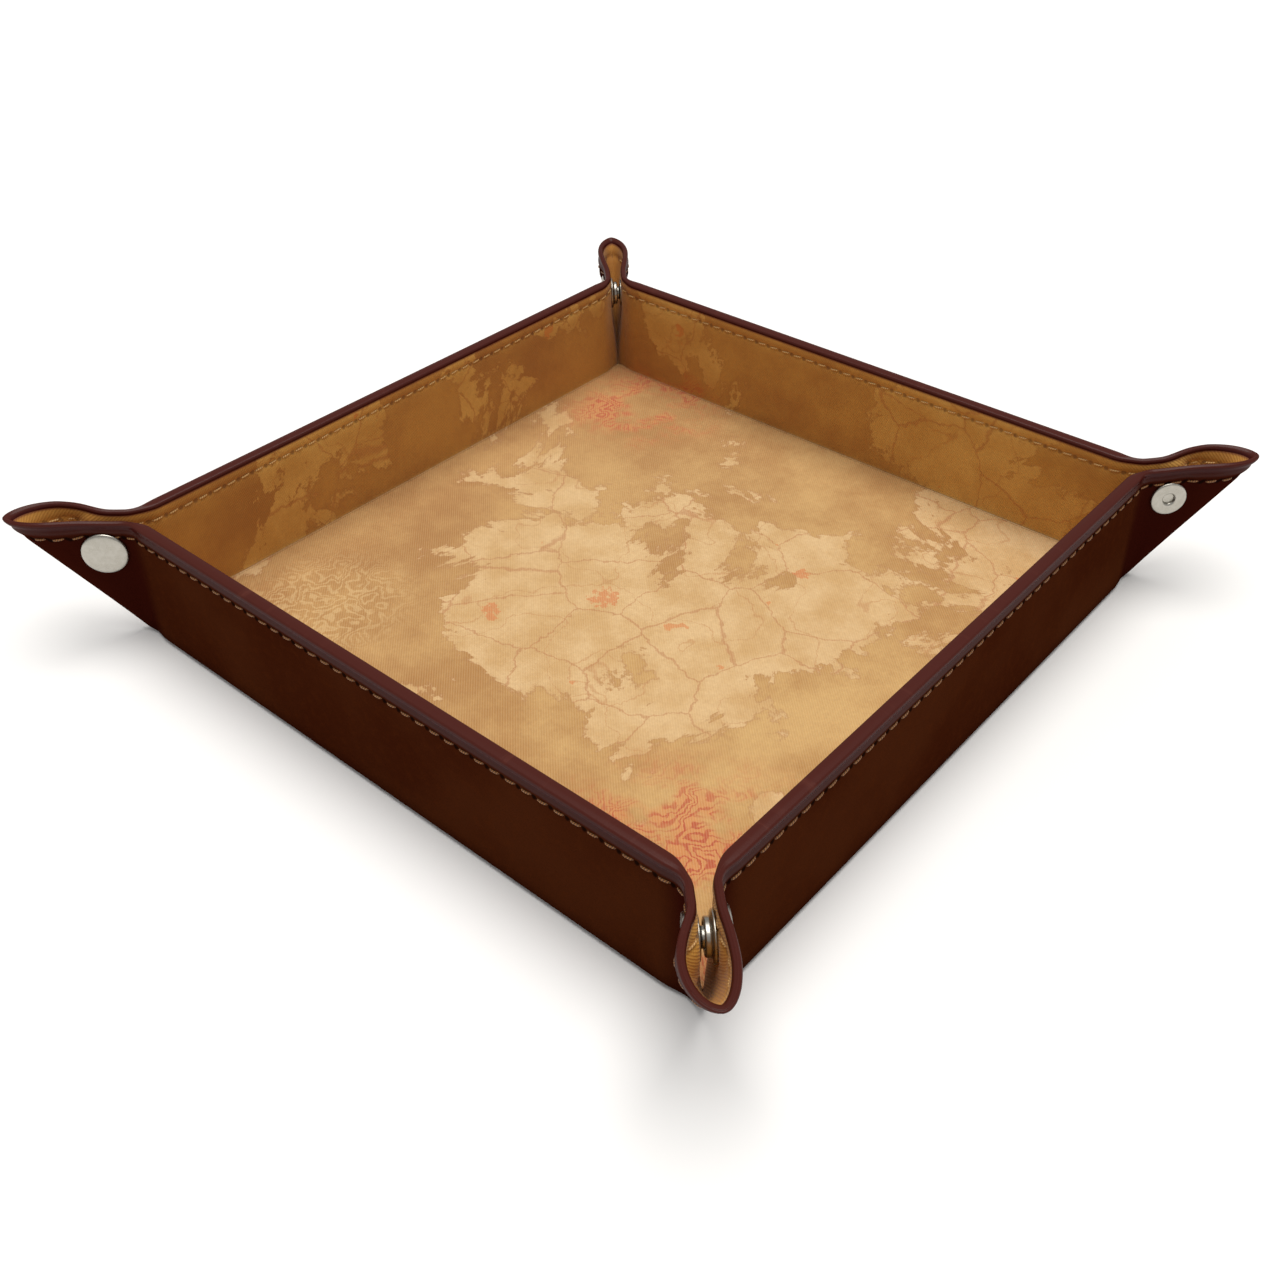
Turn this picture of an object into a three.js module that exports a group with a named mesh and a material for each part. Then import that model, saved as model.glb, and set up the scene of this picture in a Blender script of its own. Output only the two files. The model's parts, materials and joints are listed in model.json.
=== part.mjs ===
// A snap-up tabletop dice tray: one sheet of leather with a printed lining, stiffened
// by a board in the base and in each wall. The corners are pinched into ears, and a
// four-part press snap holds each ear shut. Unsnapped, the tray falls open flat.
//
// Millimetres, +Z up, origin at the centre of the underside. The front wall faces -Y,
// and the other three are the same wall turned by quarter turns about Z.
import * as THREE from 'three';

// ---- driving dimensions ----
const TRAY_INSIDE = 200; // between the inner faces of opposite walls
const RIM_HEIGHT = 38.5; // from the table to the rim
const GAP = 0.3; // left between neighbouring solids

// ---- the laminate: leather outside, board inside, lining on the play side ----
const COVER_THICK = 1.0;
const BOARD_THICK = 1.5;
const LINING_THICK = 0.6;
const LAMINATE = COVER_THICK + BOARD_THICK + LINING_THICK + 2 * GAP;
const EAR_THICK = COVER_THICK + LINING_THICK + GAP; // an ear has no board in it

// ---- the folds ----
// A wall turns about the middle of its rounded foot. An ear half turns about an axis that
// leaves the middle of the leather at the wall's end and leans towards the tray, so that
// the ear lies down into the wall's plane with its lift taken out.
const FOOT_R = LAMINATE / 2;
const WALL_FOLD = TRAY_INSIDE / 2 + FOOT_R; // from the tray's centre to the wall's axis
const EAR_FOLD = WALL_FOLD - 4.15; // from the tray's centre to the ear's axis
const EAR_TURN = Math.PI / 4; // an ear half stands in the corner's diagonal plane
const EAR_LIFT = THREE.MathUtils.degToRad(6); // the closed loop tips the ear's point up
const EAR_TOP = RIM_HEIGHT - FOOT_R; // above the wall's axis
const EAR_FOOT = 0.8;
const EAR_ROOT = 0.6; // from the ear's axis to its first edge
const EAR_REACH = 36; // from the ear's axis to the blunt tip
// The flat sheet's corner is rounded: [from the ear's axis, below the rim].
const CORNER_ROUND = [[EAR_REACH, 3.05], [22, 1.45], [8, 0]];
const EDGE_CLEARANCE = 0.8; // from an ear half to the diagonal that it folds on
const EDGE_LEAD = WALL_FOLD - EAR_FOLD - EDGE_CLEARANCE * Math.SQRT2;

// ---- wall and base outlines ----
const WALL_END = EAR_FOLD - 0.9; // half the wall's length
const WALL_BOARD_END = EAR_FOLD - 6; // the board stops where the leather starts to bend
const RIM_ROUND = 0.8;
const FOOT_TOP = 3; // the solid foot of a wall's cover ends here
const BASE_HALF = TRAY_INSIDE / 2 - GAP;
const BASE_BOARD_HALF = BASE_HALF - 2.2;

// ---- press snap ----
const SNAP_OUT = 9.2; // from the ear's axis to the snap's centre
const SNAP_HEIGHT = 29.3 - FOOT_R; // above the wall's axis
const SNAP_HOLE_R = 2.2;
const CAP_R = 6.4;
const CAP_EDGE = 0.7;
const CAP_DOME = 1.6;
const POST_R = 5.25;
const POST_THICK = 0.9;
const BARREL_R = 1.6;
const BARREL_BORE_R = 1.0;
const SOCKET_R = 5.5;
const SOCKET_BORE_R = 3.0;
const SOCKET_DEEP = 2.5;
const SOCKET_FLOOR = 0.5;
const STUD_FLANGE_R = 4.8;
const STUD_FLANGE = 0.5;
const STUD_HEAD_R = 2.4;
const STUD_HEAD = 1.7;
const STUD_WALL = 0.45;
const ROUND_SEGMENTS = 20;

const leather = new THREE.MeshStandardMaterial({ color: 0x3a1c10, roughness: 0.42, metalness: 0 });
const mapCloth = new THREE.MeshStandardMaterial({ color: 0xc89e64, roughness: 0.85, metalness: 0 });
const greyBoard = new THREE.MeshStandardMaterial({ color: 0x8a857c, roughness: 0.95, metalness: 0 });
const nickel = new THREE.MeshStandardMaterial({ color: 0xb9b6ad, roughness: 0.3, metalness: 1 });

function named(name, geometry, material) {
  const mesh = new THREE.Mesh(geometry, material);
  mesh.name = name;
  return mesh;
}

// A flat layer between two heights, on a square outline.
function squareLayer(name, half, bottom, thick, material) {
  const mesh = named(name, new THREE.BoxGeometry(2 * half, 2 * half, thick), material);
  mesh.position.z = bottom + thick / 2;
  return mesh;
}

function makeBase() {
  const group = new THREE.Group();
  const boardBottom = COVER_THICK + GAP;
  const liningBottom = boardBottom + BOARD_THICK + GAP;
  group.add(squareLayer('base_cover', BASE_HALF, 0, COVER_THICK, leather));
  group.add(squareLayer('base_board', BASE_BOARD_HALF, boardBottom, BOARD_THICK, greyBoard));
  group.add(squareLayer('base_lining', BASE_HALF, liningBottom, LINING_THICK, mapCloth));
  return group;
}

// A bar along X with a constant section. The section's x runs outwards from the wall's
// inner face, and its y runs up from the table.
function bar(name, section, halfLength, material) {
  const options = { depth: 2 * halfLength, bevelEnabled: false, curveSegments: 4 };
  const mesh = named(name, new THREE.ExtrudeGeometry(section, options), material);
  const outwards = new THREE.Vector3(0, -1, 0);
  const up = new THREE.Vector3(0, 0, 1);
  const along = new THREE.Vector3(-1, 0, 0);
  const turn = new THREE.Matrix4().makeBasis(outwards, up, along);
  mesh.quaternion.setFromRotationMatrix(turn);
  mesh.position.set(halfLength, -TRAY_INSIDE / 2, 0);
  return mesh;
}

function rectangle(left, bottom, right, top) {
  const shape = new THREE.Shape();
  shape.moveTo(left, bottom);
  shape.lineTo(right, bottom);
  shape.lineTo(right, top);
  shape.lineTo(left, top);
  shape.closePath();
  return shape;
}

// The leather wraps the wall: a round foot at the fold, the outer skin, and the rim
// turned over the top of the board and the lining.
function wallCoverSection() {
  const skin = LAMINATE - COVER_THICK;
  const rimUnderside = RIM_HEIGHT - COVER_THICK;
  const shape = new THREE.Shape();
  shape.moveTo(0, FOOT_TOP);
  shape.lineTo(0, FOOT_R);
  shape.absarc(FOOT_R, FOOT_R, FOOT_R, Math.PI, 2 * Math.PI, false);
  shape.lineTo(LAMINATE, RIM_HEIGHT - RIM_ROUND);
  shape.absarc(LAMINATE - RIM_ROUND, RIM_HEIGHT - RIM_ROUND, RIM_ROUND, 0, Math.PI / 2, false);
  shape.lineTo(RIM_ROUND, RIM_HEIGHT);
  shape.absarc(RIM_ROUND, RIM_HEIGHT - RIM_ROUND, RIM_ROUND, Math.PI / 2, Math.PI, false);
  shape.lineTo(0, rimUnderside);
  shape.lineTo(skin, rimUnderside);
  shape.lineTo(skin, FOOT_TOP);
  shape.closePath();
  return shape;
}

function makeWall(side) {
  const group = new THREE.Group();
  const bottom = FOOT_TOP + GAP;
  const top = RIM_HEIGHT - COVER_THICK - GAP;
  const boardInner = LINING_THICK + GAP;
  const board = rectangle(boardInner, bottom, boardInner + BOARD_THICK, top);
  const lining = rectangle(0, bottom, LINING_THICK, top);
  group.add(bar(`${side}_wall_cover`, wallCoverSection(), WALL_END, leather));
  group.add(bar(`${side}_wall_board`, board, WALL_BOARD_END, greyBoard));
  group.add(bar(`${side}_wall_lining`, lining, WALL_END, mapCloth));
  return group;
}

// One half of a pinched ear, in the plane that it stands in: x runs out from the wall's
// end, towards +X on the right end of a wall and -X on the left end, and y runs up. It is
// cut from the flat sheet, then lifted about the corner; its root stays upright.
function earOutline(end) {
  const flat = [[EAR_FOOT + EDGE_LEAD, EAR_FOOT], [EAR_REACH, EAR_REACH - EDGE_LEAD]];
  flat.push(...CORNER_ROUND.map(([out, drop]) => [out, EAR_TOP - drop]));
  const shape = new THREE.Shape();
  shape.moveTo(end * EAR_ROOT, EAR_FOOT);
  flat.forEach(([out, up]) => {
    const point = new THREE.Vector2(out, up).rotateAround(new THREE.Vector2(), EAR_LIFT);
    shape.lineTo(end * point.x, point.y);
  });
  shape.lineTo(end * EAR_ROOT, EAR_TOP);
  shape.closePath();
  const hole = new THREE.Path();
  hole.absarc(end * SNAP_OUT, SNAP_HEIGHT, SNAP_HOLE_R, 0, 2 * Math.PI, false);
  shape.holes.push(hole);
  return shape;
}

// A layer of an ear half, from one depth to another: 0 is the middle of the ear's
// thickness and positive depths are towards the outside.
function earLayer(name, end, inner, outer, material) {
  const options = { depth: outer - inner, bevelEnabled: false, curveSegments: ROUND_SEGMENTS / 2 };
  const mesh = named(name, new THREE.ExtrudeGeometry(earOutline(end), options), material);
  mesh.rotation.x = Math.PI / 2;
  mesh.position.y = -inner;
  return mesh;
}

// A snap part, turned about the snap's axis. Each profile point is [radius, depth].
function turned(name, end, profile) {
  const points = profile.map(([radius, depth]) => new THREE.Vector2(radius, -depth));
  const mesh = named(name, new THREE.LatheGeometry(points, ROUND_SEGMENTS), nickel);
  mesh.position.set(end * SNAP_OUT, 0, SNAP_HEIGHT);
  return mesh;
}

const OUTER_SEAT = EAR_THICK / 2 + GAP; // snap parts bear on the leather here
const INNER_SEAT = -OUTER_SEAT; // and on the lining here

function snapCap(name, end) {
  const edge = OUTER_SEAT + CAP_EDGE;
  const crown = OUTER_SEAT + CAP_DOME;
  return turned(name, end, [
    [0, crown],
    [CAP_R * 0.5, crown - (CAP_DOME - CAP_EDGE) * 0.25],
    [CAP_R * 0.85, crown - (CAP_DOME - CAP_EDGE) * 0.72],
    [CAP_R, edge - CAP_EDGE * 0.4],
    [CAP_R - 0.4, OUTER_SEAT],
    [BARREL_R, OUTER_SEAT],
    [BARREL_R, INNER_SEAT - SOCKET_FLOOR],
    [0, INNER_SEAT - SOCKET_FLOOR],
  ]);
}

function snapSocket(name, end) {
  const mouth = INNER_SEAT - SOCKET_DEEP;
  return turned(name, end, [
    [SOCKET_R, INNER_SEAT],
    [SOCKET_R, mouth + 0.5],
    [SOCKET_R - 0.8, mouth],
    [SOCKET_BORE_R, mouth],
    [SOCKET_BORE_R, INNER_SEAT - SOCKET_FLOOR],
    [BARREL_R + GAP, INNER_SEAT - SOCKET_FLOOR],
    [BARREL_R + GAP, INNER_SEAT],
    [SOCKET_R, INNER_SEAT],
  ]);
}

function snapPost(name, end) {
  const face = OUTER_SEAT + POST_THICK;
  const barrelEnd = INNER_SEAT - STUD_FLANGE;
  return turned(name, end, [
    [BARREL_BORE_R, face],
    [POST_R - 0.5, face],
    [POST_R, face - 0.4],
    [POST_R, OUTER_SEAT],
    [BARREL_R, OUTER_SEAT],
    [BARREL_R, barrelEnd],
    [BARREL_BORE_R, barrelEnd],
    [BARREL_BORE_R, face],
  ]);
}

function snapStud(name, end) {
  const flange = INNER_SEAT - STUD_FLANGE;
  const head = flange - STUD_HEAD;
  const bore = STUD_HEAD_R - STUD_WALL;
  return turned(name, end, [
    [bore, INNER_SEAT],
    [STUD_FLANGE_R, INNER_SEAT],
    [STUD_FLANGE_R, flange],
    [STUD_HEAD_R, flange],
    [STUD_HEAD_R, head + 0.4],
    [STUD_HEAD_R - 0.4, head],
    [0, head],
    [0, head + STUD_WALL],
    [bore, head + STUD_WALL],
    [bore, INNER_SEAT],
  ]);
}

// Seen from outside, every wall carries a cap and its socket on the ear half at its
// left end, and a post and its stud on the one at its right end.
function makeEar(side, end) {
  const group = new THREE.Group();
  const ear = `${side}_${end < 0 ? 'left' : 'right'}_ear`;
  const skin = EAR_THICK / 2 - COVER_THICK;
  group.add(earLayer(`${ear}_cover`, end, skin, EAR_THICK / 2, leather));
  group.add(earLayer(`${ear}_lining`, end, -EAR_THICK / 2, skin - GAP, mapCloth));
  if (end < 0) {
    group.add(snapCap(`${ear}_snap_cap`, end));
    group.add(snapSocket(`${ear}_snap_socket`, end));
  } else {
    group.add(snapPost(`${ear}_snap_post`, end));
    group.add(snapStud(`${ear}_snap_stud`, end));
  }
  group.position.set(end * EAR_FOLD, -WALL_FOLD, FOOT_R);
  group.rotation.z = -end * EAR_TURN;
  return group;
}

const tray = new THREE.Group();
tray.add(makeBase());
['front', 'right', 'back', 'left'].forEach((side, quarter) => {
  const wall = new THREE.Group();
  wall.add(makeWall(side));
  wall.add(makeEar(side, -1));
  wall.add(makeEar(side, 1));
  wall.rotation.z = quarter * Math.PI / 2;
  tray.add(wall);
});

export default tray;
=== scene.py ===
# A snap-up leather dice tray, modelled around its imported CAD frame.
#
# Lengths are in millimetres until a mesh is made, where MM turns them into metres.
# A wall is described in its own coordinates: along (from the wall's middle towards an
# end), out (from the wall's inner face outwards) and up (from the table).
import json
import math

import bmesh
import bpy
import numpy as np
from mathutils import Matrix, Vector

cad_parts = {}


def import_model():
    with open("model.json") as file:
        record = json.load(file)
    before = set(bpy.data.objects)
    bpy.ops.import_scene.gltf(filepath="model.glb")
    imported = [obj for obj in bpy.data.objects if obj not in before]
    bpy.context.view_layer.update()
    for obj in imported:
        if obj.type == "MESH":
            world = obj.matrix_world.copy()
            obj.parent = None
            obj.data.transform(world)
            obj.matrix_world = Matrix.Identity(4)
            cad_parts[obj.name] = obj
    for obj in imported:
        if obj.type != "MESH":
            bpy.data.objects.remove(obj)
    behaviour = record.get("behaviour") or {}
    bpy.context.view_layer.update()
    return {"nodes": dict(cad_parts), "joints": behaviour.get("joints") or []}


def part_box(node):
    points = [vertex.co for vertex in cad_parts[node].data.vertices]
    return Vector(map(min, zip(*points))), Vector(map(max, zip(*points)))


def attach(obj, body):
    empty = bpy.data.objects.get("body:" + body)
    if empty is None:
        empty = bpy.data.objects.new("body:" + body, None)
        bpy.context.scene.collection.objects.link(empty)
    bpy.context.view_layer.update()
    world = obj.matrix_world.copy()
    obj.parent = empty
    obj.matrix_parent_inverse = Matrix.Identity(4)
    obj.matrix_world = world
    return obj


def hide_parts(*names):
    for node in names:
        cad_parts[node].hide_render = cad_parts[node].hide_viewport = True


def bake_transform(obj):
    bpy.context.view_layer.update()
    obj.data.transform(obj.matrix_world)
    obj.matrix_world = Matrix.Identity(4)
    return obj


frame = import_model()

MM = 0.001
SIDES = ("front", "right", "back", "left")
ENDS = {"left": -1, "right": 1}

# ---- sizes taken from the frame ----
wall_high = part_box("front_wall_cover")[1]
joint_at = {j["name"]: [c / MM for c in j["pos_m"]] for j in frame["joints"]}
INSIDE = -wall_high.y / MM  # from the tray's centre to a wall's inner face
RIM = wall_high.z / MM
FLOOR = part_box("base_lining")[1].z / MM
WALL_FOLD = -joint_at["front_wall_fold"][1]
FOOT = joint_at["front_wall_fold"][2]
EAR_FOLD = joint_at["front_right_ear_fold"][0]
BEND_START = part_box("front_wall_board")[1].x / MM  # the wall is straight up to here

# ---- the laminate ----
COVER = 1.0
LINING = 0.6
EAR_HALF = 0.95  # half the thickness of an ear, which has no board

# ---- the ear's loop ----
DIAGONAL = (WALL_FOLD - EAR_FOLD) / math.sqrt(2)  # from the ear's axis to the symmetry plane
BEND_SOFT = 4.0  # how far the bend at the ear's root spreads
GAP_AT_FLOOR = 0.2  # half the gap between the ears' linings, at the floor
GAP_OPEN_HEIGHT = 24.0  # the gap is fully open this far above the table
BULGE_FROM = 9.0  # the loop swells beyond the snap
NOSE = 12.5  # how much of each half rounds the loop's end, along the sheet
LIFT = math.radians(6)  # the closed loop tips the ear's point up
# A snap's place on its ear: from the ear's axis, and above the foot, before the ear is turned up.
SNAP_MIDDLE = sum(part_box("front_left_ear_snap_cap"), Vector()) / (2 * MM)
SNAP_OUT = (-SNAP_MIDDLE.x - EAR_FOLD - SNAP_MIDDLE.y - INSIDE - FOOT) * math.sqrt(0.5)
SNAP_REACH = SNAP_OUT * math.cos(LIFT) + (SNAP_MIDDLE.z - FOOT) * math.sin(LIFT)
SNAP_RISE = (SNAP_MIDDLE.z - FOOT) * math.cos(LIFT) - SNAP_OUT * math.sin(LIFT)
# How far each half of a loop swells: one half of a corner is pulled straight, the other bows.
BULGES = {"front_left": 1.2, "left_right": 3.6, "front_right": 3.5, "right_left": 1.1,
          "right_right": 1.2, "back_left": 3.6, "back_right": 1.7, "left_left": 1.7}
CORNER_DROP = 2.2  # the flat sheet's corner is rounded off by this much
SNAP_CLAMP = 6.4  # the leather is held flat this far round a snap's middle
CLAMP_FADE = 3.6  # and swells freely this much farther out

# ---- the floor's lining ----
FLOOR_EDGE = 0.8  # the floor's cloth stops this far short of the walls
CORNER_START = 93.0  # from here to the corner it reaches out to the feet of the ears
CLOTH_FOOT = 0.6  # a wall's cloth starts this far above the floor, on the crease strip

# ---- seam and rim ----
STITCH_DOWN = 4.7  # from the rim to the row of stitches
STITCH_PITCH = 4.9
STITCH_LENGTH = 3.6
THREAD_R = 0.28
LIP = 1.2  # how far the leather turns down inside the rim
RIM_ROUND = 0.8  # the radius of the rim's edges


def smooth(x):
    x = np.clip(x, 0.0, 1.0)
    return x * x * (3 - 2 * x)


def soft_max(a, b, spread):
    """The larger of a and b, rounded off where they differ by less than spread."""
    near = np.maximum(spread - np.abs(a - b), 0.0) / spread
    return np.maximum(a, b) + near * near * spread / 4


def bell(x, centre, width):
    return np.exp(-(((x - centre) / width) ** 2))


# ---------------------------------------------------------------- placing

def world(along, out, up, quarter, end=1):
    """Wall coordinates to the tray's frame, in metres, for the wall at that quarter turn."""
    x = end * np.asarray(along, float)
    y = -(INSIDE + np.asarray(out, float))
    z = np.asarray(up, float) + 0 * x
    c, s = (1, 0, -1, 0)[quarter], (0, 1, 0, -1)[quarter]
    return np.stack([c * x - s * y, s * x + c * y, z], -1) * MM


def flat_uv(along, up, quarter, end=1):
    """Where a point of a wall or ear lies on the tray's flat sheet, in metres."""
    spot = world(along, np.asarray(up, float) + WALL_FOLD - FOOT - INSIDE, 0.0, quarter, end)
    return spot[..., :2]


# ---------------------------------------------------------------- meshes

def make_mesh(name, verts, faces, material, flat=None, seam=None, sharp=50):
    """A closed mesh with up to two UV layers, one pair of values per vertex.

    flat is the place on the flat sheet in metres. seam is the distance along the rim from
    the wall's middle and the distance below the rim, in millimetres.
    """
    mesh = bpy.data.meshes.new(name)
    mesh.from_pydata(np.asarray(verts).reshape(-1, 3).tolist(), [], faces)
    closed = bmesh.new()
    closed.from_mesh(mesh)
    bmesh.ops.recalc_face_normals(closed, faces=closed.faces)
    closed.to_mesh(mesh)
    closed.free()
    loops = np.empty(len(mesh.loops), np.int32)
    mesh.loops.foreach_get("vertex_index", loops)
    for layer, values in (("flat", flat), ("seam", seam)):
        if values is not None:
            uv = mesh.uv_layers.new(name=layer)
            uv.data.foreach_set("uv", np.asarray(values, np.float32).reshape(-1, 2)[loops].ravel())
    mesh.polygons.foreach_set("use_smooth", [True] * len(mesh.polygons))
    mesh.set_sharp_from_angle(angle=math.radians(sharp))
    mesh.materials.append(material)
    obj = bpy.data.objects.new(name, mesh)
    bpy.context.scene.collection.objects.link(obj)
    return obj


def tube_faces(rows, around, flip):
    """Faces of a skin over rows of closed loops, with a cap at each end."""
    faces = []
    for i in range(rows - 1):
        for j in range(around):
            k = (j + 1) % around
            quad = (i * around + j, i * around + k, (i + 1) * around + k, (i + 1) * around + j)
            faces.append(quad[::-1] if flip else quad)
    first = tuple(range(around))
    last = tuple((rows - 1) * around + j for j in range(around))
    faces += [first, last[::-1]] if flip else [first[::-1], last]
    return faces


# ---------------------------------------------------------------- the ear's surface

def ear_reach(up):
    """How far the fold between the two ear halves is from the ear's axis, on the flat sheet."""
    return up - FOOT + WALL_FOLD - EAR_FOLD


def ear_middle(column, up, bulge):
    """The middle of the leather as (along, out, up), for a height on the flat sheet.

    A column below 0 is on the wall, that many millimetres before the ear's axis. From 0
    to 1 it is on the side of the loop, and from 1 to 2 it rounds the loop's nose.
    """
    reach = ear_reach(up)
    nose = np.minimum(NOSE, 0.45 * reach)
    turn = np.clip(column - 1, 0, 1) * math.pi / 2
    side = np.clip(column, 0, 1) * (reach - nose)
    r = np.where(column < 0, column, side + nose * np.sin(turn))
    opened = smooth((up - FLOOR) / GAP_OPEN_HEIGHT)
    half_gap = GAP_AT_FLOOR + (DIAGONAL - EAR_HALF - GAP_AT_FLOOR) * opened
    pinch = DIAGONAL - EAR_HALF - half_gap
    spread = np.minimum(BEND_SOFT, 0.5 * reach)
    swell = smooth((reach - 12) / 25) * bulge
    place = (r - BULGE_FROM) / np.maximum(reach - BULGE_FROM, 1)
    clamped = smooth((np.hypot(r - SNAP_REACH, up - FOOT - SNAP_RISE) - SNAP_CLAMP) / CLAMP_FADE)
    q = soft_max(-r, -pinch + 0 * r, spread) + swell * smooth(place / 0.6) * clamped
    q = np.where(column > 1, (q + DIAGONAL) * np.cos(turn) ** 1.12 - DIAGONAL, q)
    # beyond the bend the sheet is turned up about the tray's bottom corner
    lift = LIFT * smooth(r / (0.55 * reach))
    high = up - FOOT
    lifted_r = r * np.cos(lift) - high * np.sin(lift)
    lifted_up = FOOT + high * np.cos(lift) + r * np.sin(lift)
    c = math.sqrt(0.5)
    return EAR_FOLD + (lifted_r - q) * c, FOOT + (lifted_r + q) * c, lifted_up


def bend_start():
    """The bend's first column: how far before the ear's axis the wall stops being straight."""
    return (BEND_START - EAR_FOLD) * math.sqrt(0.5)


def ear_columns(count_bend, count_side, count_nose):
    bend = np.linspace(bend_start(), 0, count_bend, endpoint=False)
    side = np.linspace(0, 1, count_side, endpoint=False)
    nose = np.linspace(1, 2, count_nose)
    return np.concatenate([bend, side, nose])


def half_thick(column):
    """Half the thickness, from the wall's laminate to the thinner ear."""
    r = np.where(column < 0, column, column * 28)
    return FOOT + (EAR_HALF - FOOT) * smooth((r - bend_start()) / (1.0 - bend_start()))


def ear_surface(columns, ups, depths, bulge):
    """Points (along, out, up) at a depth from the middle of the leather, one per column."""
    along, out, up = ear_middle(columns, ups + 0 * columns, bulge)
    da, do = np.gradient(along), np.gradient(out)
    da[-1], do[-1] = math.sqrt(0.5), -math.sqrt(0.5)  # the two halves meet square on
    size = np.maximum(np.hypot(da, do), 1e-9)
    return along - do / size * depths, out + da / size * depths, up


def rim_height(columns):
    return RIM - CORNER_DROP * smooth((columns - 0.15) / 1.75)


# ---------------------------------------------------------------- sections

def foot_round(up):
    """The outer skin pulls in to nothing round the foot of a wall."""
    return np.sqrt(np.clip(1 - (1 - np.minimum(up, FOOT) / FOOT) ** 2, 0, 1))


def cover_relief(down):
    """How the outer skin stands proud or sinks, by distance below the rim."""
    groove = -0.28 * bell(down, 1.9, 0.55)
    ridge = 0.12 * bell(down, 3.0, 0.8)
    return groove + ridge - 0.22 * bell(down, STITCH_DOWN, 0.75)


def lining_relief(down):
    """The same for the lining, which puffs up either side of the stitches."""
    return 0.18 * bell(down, 2.8, 1.2) - 0.3 * bell(down, STITCH_DOWN, 0.8) + 0.12 * bell(down, 8.0, 2.5)


# Where the outer skin has its rows: below the rim, and above the table.
SKIN_DOWNS = np.concatenate([np.linspace(7.0, 1.2, 18), [0.95]])
SKIN_RISES = (0.0, 0.12, 0.3, 0.6, 1.0, 1.4, 1.85, 2.6, 3.6, 5.0)


def cover_section(rim, half):
    """The leather's closed section as lists of (depth, up, distance from the rim).

    rim and half are one value per column.
    """
    rows = []
    for rise in SKIN_RISES:
        rows.append((half * foot_round(rise), rise + 0 * rim, rim - rise))
    body_top = rim - SKIN_DOWNS[0]
    for share in np.linspace(0, 1, 9)[1:-1]:
        up = SKIN_RISES[-1] + (body_top - SKIN_RISES[-1]) * share
        rows.append((half + 0 * up, up, rim - up))
    for down in SKIN_DOWNS:
        rows.append((half + cover_relief(down), rim - down, down + 0 * rim))
    corner = np.minimum(RIM_ROUND, 0.75 * half)
    for turn in np.radians((15, 35, 55, 75, 90)):
        depth = half - corner + corner * math.cos(turn)
        up = rim - RIM_ROUND + RIM_ROUND * math.sin(turn)
        rows.append((depth, up, 0.6 - 0.6 * math.sin(turn) + 0 * rim))
    for share in (0.5, 0.0, -0.5):
        crown = 0.16 * (1 - share * share)
        rows.append(((half - corner) * share, rim + crown, -0.1 + 0 * rim))
    for turn in np.radians((90, 75, 55, 35, 15)):
        depth = -(half - corner + corner * math.cos(turn))
        up = rim - RIM_ROUND + RIM_ROUND * math.sin(turn)
        rows.append((depth, up, 0.6 - 0.6 * math.sin(turn) + 0 * rim))
    # the turned-down lip, then back up inside the laminate
    rows.append((-half - 0.08, rim - 0.5 * LIP - 0.4, 0.9 + 0 * rim))
    rows.append((-half - 0.06, rim - LIP, LIP + 0 * rim))
    rows.append((-half + 0.3, rim - LIP - 0.12, LIP + 0 * rim))
    rows.append((-half + 0.65, rim - LIP, LIP + 0 * rim))
    rows.append((half - COVER, rim - LIP - 0.3, LIP + 0 * rim))
    rows.append((half - COVER, (rim + 3) / 2, rim / 2))
    rows.append((half - COVER, 2.0 + 0 * rim, rim))
    return rows


def lining_section(rim, half, bottom):
    """The lining's closed section on a wall or ear, from the floor's level to the lip."""
    rows = []
    inner = [bottom + 0 * rim]
    body_top = rim - 9.5
    for share in np.linspace(0, 1, 10)[1:]:
        inner.append(bottom + (body_top - bottom) * share)
    for down in np.linspace(9.0, 1.4, 22):
        inner.append(rim - down)
    for up in inner:
        down = rim - up
        rows.append((-half - lining_relief(down), up, down))
    top = rim - LIP + 0.1
    rows.append((-half + 0.05, top, rim - top))
    rows.append((-half + LINING, top, rim - top))
    rows.append((-half + LINING, (bottom + top) / 2, rim / 2))
    rows.append((-half + LINING, bottom + 0 * rim, rim - bottom))
    return rows


def run_along(points):
    """Distance along the sheet from the wall's middle, for points that start at the bend."""
    steps = np.hypot(np.diff(points[0]), np.diff(points[1]))
    return BEND_START + np.concatenate([[0], np.cumsum(steps)])


def ear_shell(name, rows, columns, quarter, end, bulge, material, edge=None):
    """A closed shell over an ear half, from a section with one value per column.

    The folded edge can have a material of its own below the rim, for when the corner lies open.
    """
    seam_s = run_along(ear_middle(columns, rim_height(columns) - STITCH_DOWN, bulge))
    points, flat, seam = [], [], []
    for depth, up, down in rows:
        along, out, lifted = ear_surface(columns, up, depth, bulge)
        run = run_along(ear_middle(columns, up + 0 * columns, bulge))
        points.append(world(along, out, lifted, quarter, end))
        flat.append(flat_uv(run, up, quarter, end))
        seam.append(np.stack([seam_s, down + 0 * seam_s], -1))
    points, flat, seam = (np.stack(a, 1) for a in (points, flat, seam))
    faces = tube_faces(len(columns), len(rows), flip=end > 0)
    if edge is None:
        return make_mesh(name, points, faces, material, flat, seam)
    rim_rows = [j for j, row in enumerate(rows) if np.min(row[2]) < 0.9]
    cap = sorted(faces.pop())
    low, high = rim_rows[0] - 1, rim_rows[-1] + 1
    faces += [cap[low:high + 1], cap[:low + 1] + cap[high:]]
    shell = make_mesh(name, points, faces, material, flat, seam)
    shell.data.materials.append(edge)
    shell.data.polygons[-1].material_index = 1
    return shell


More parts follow.
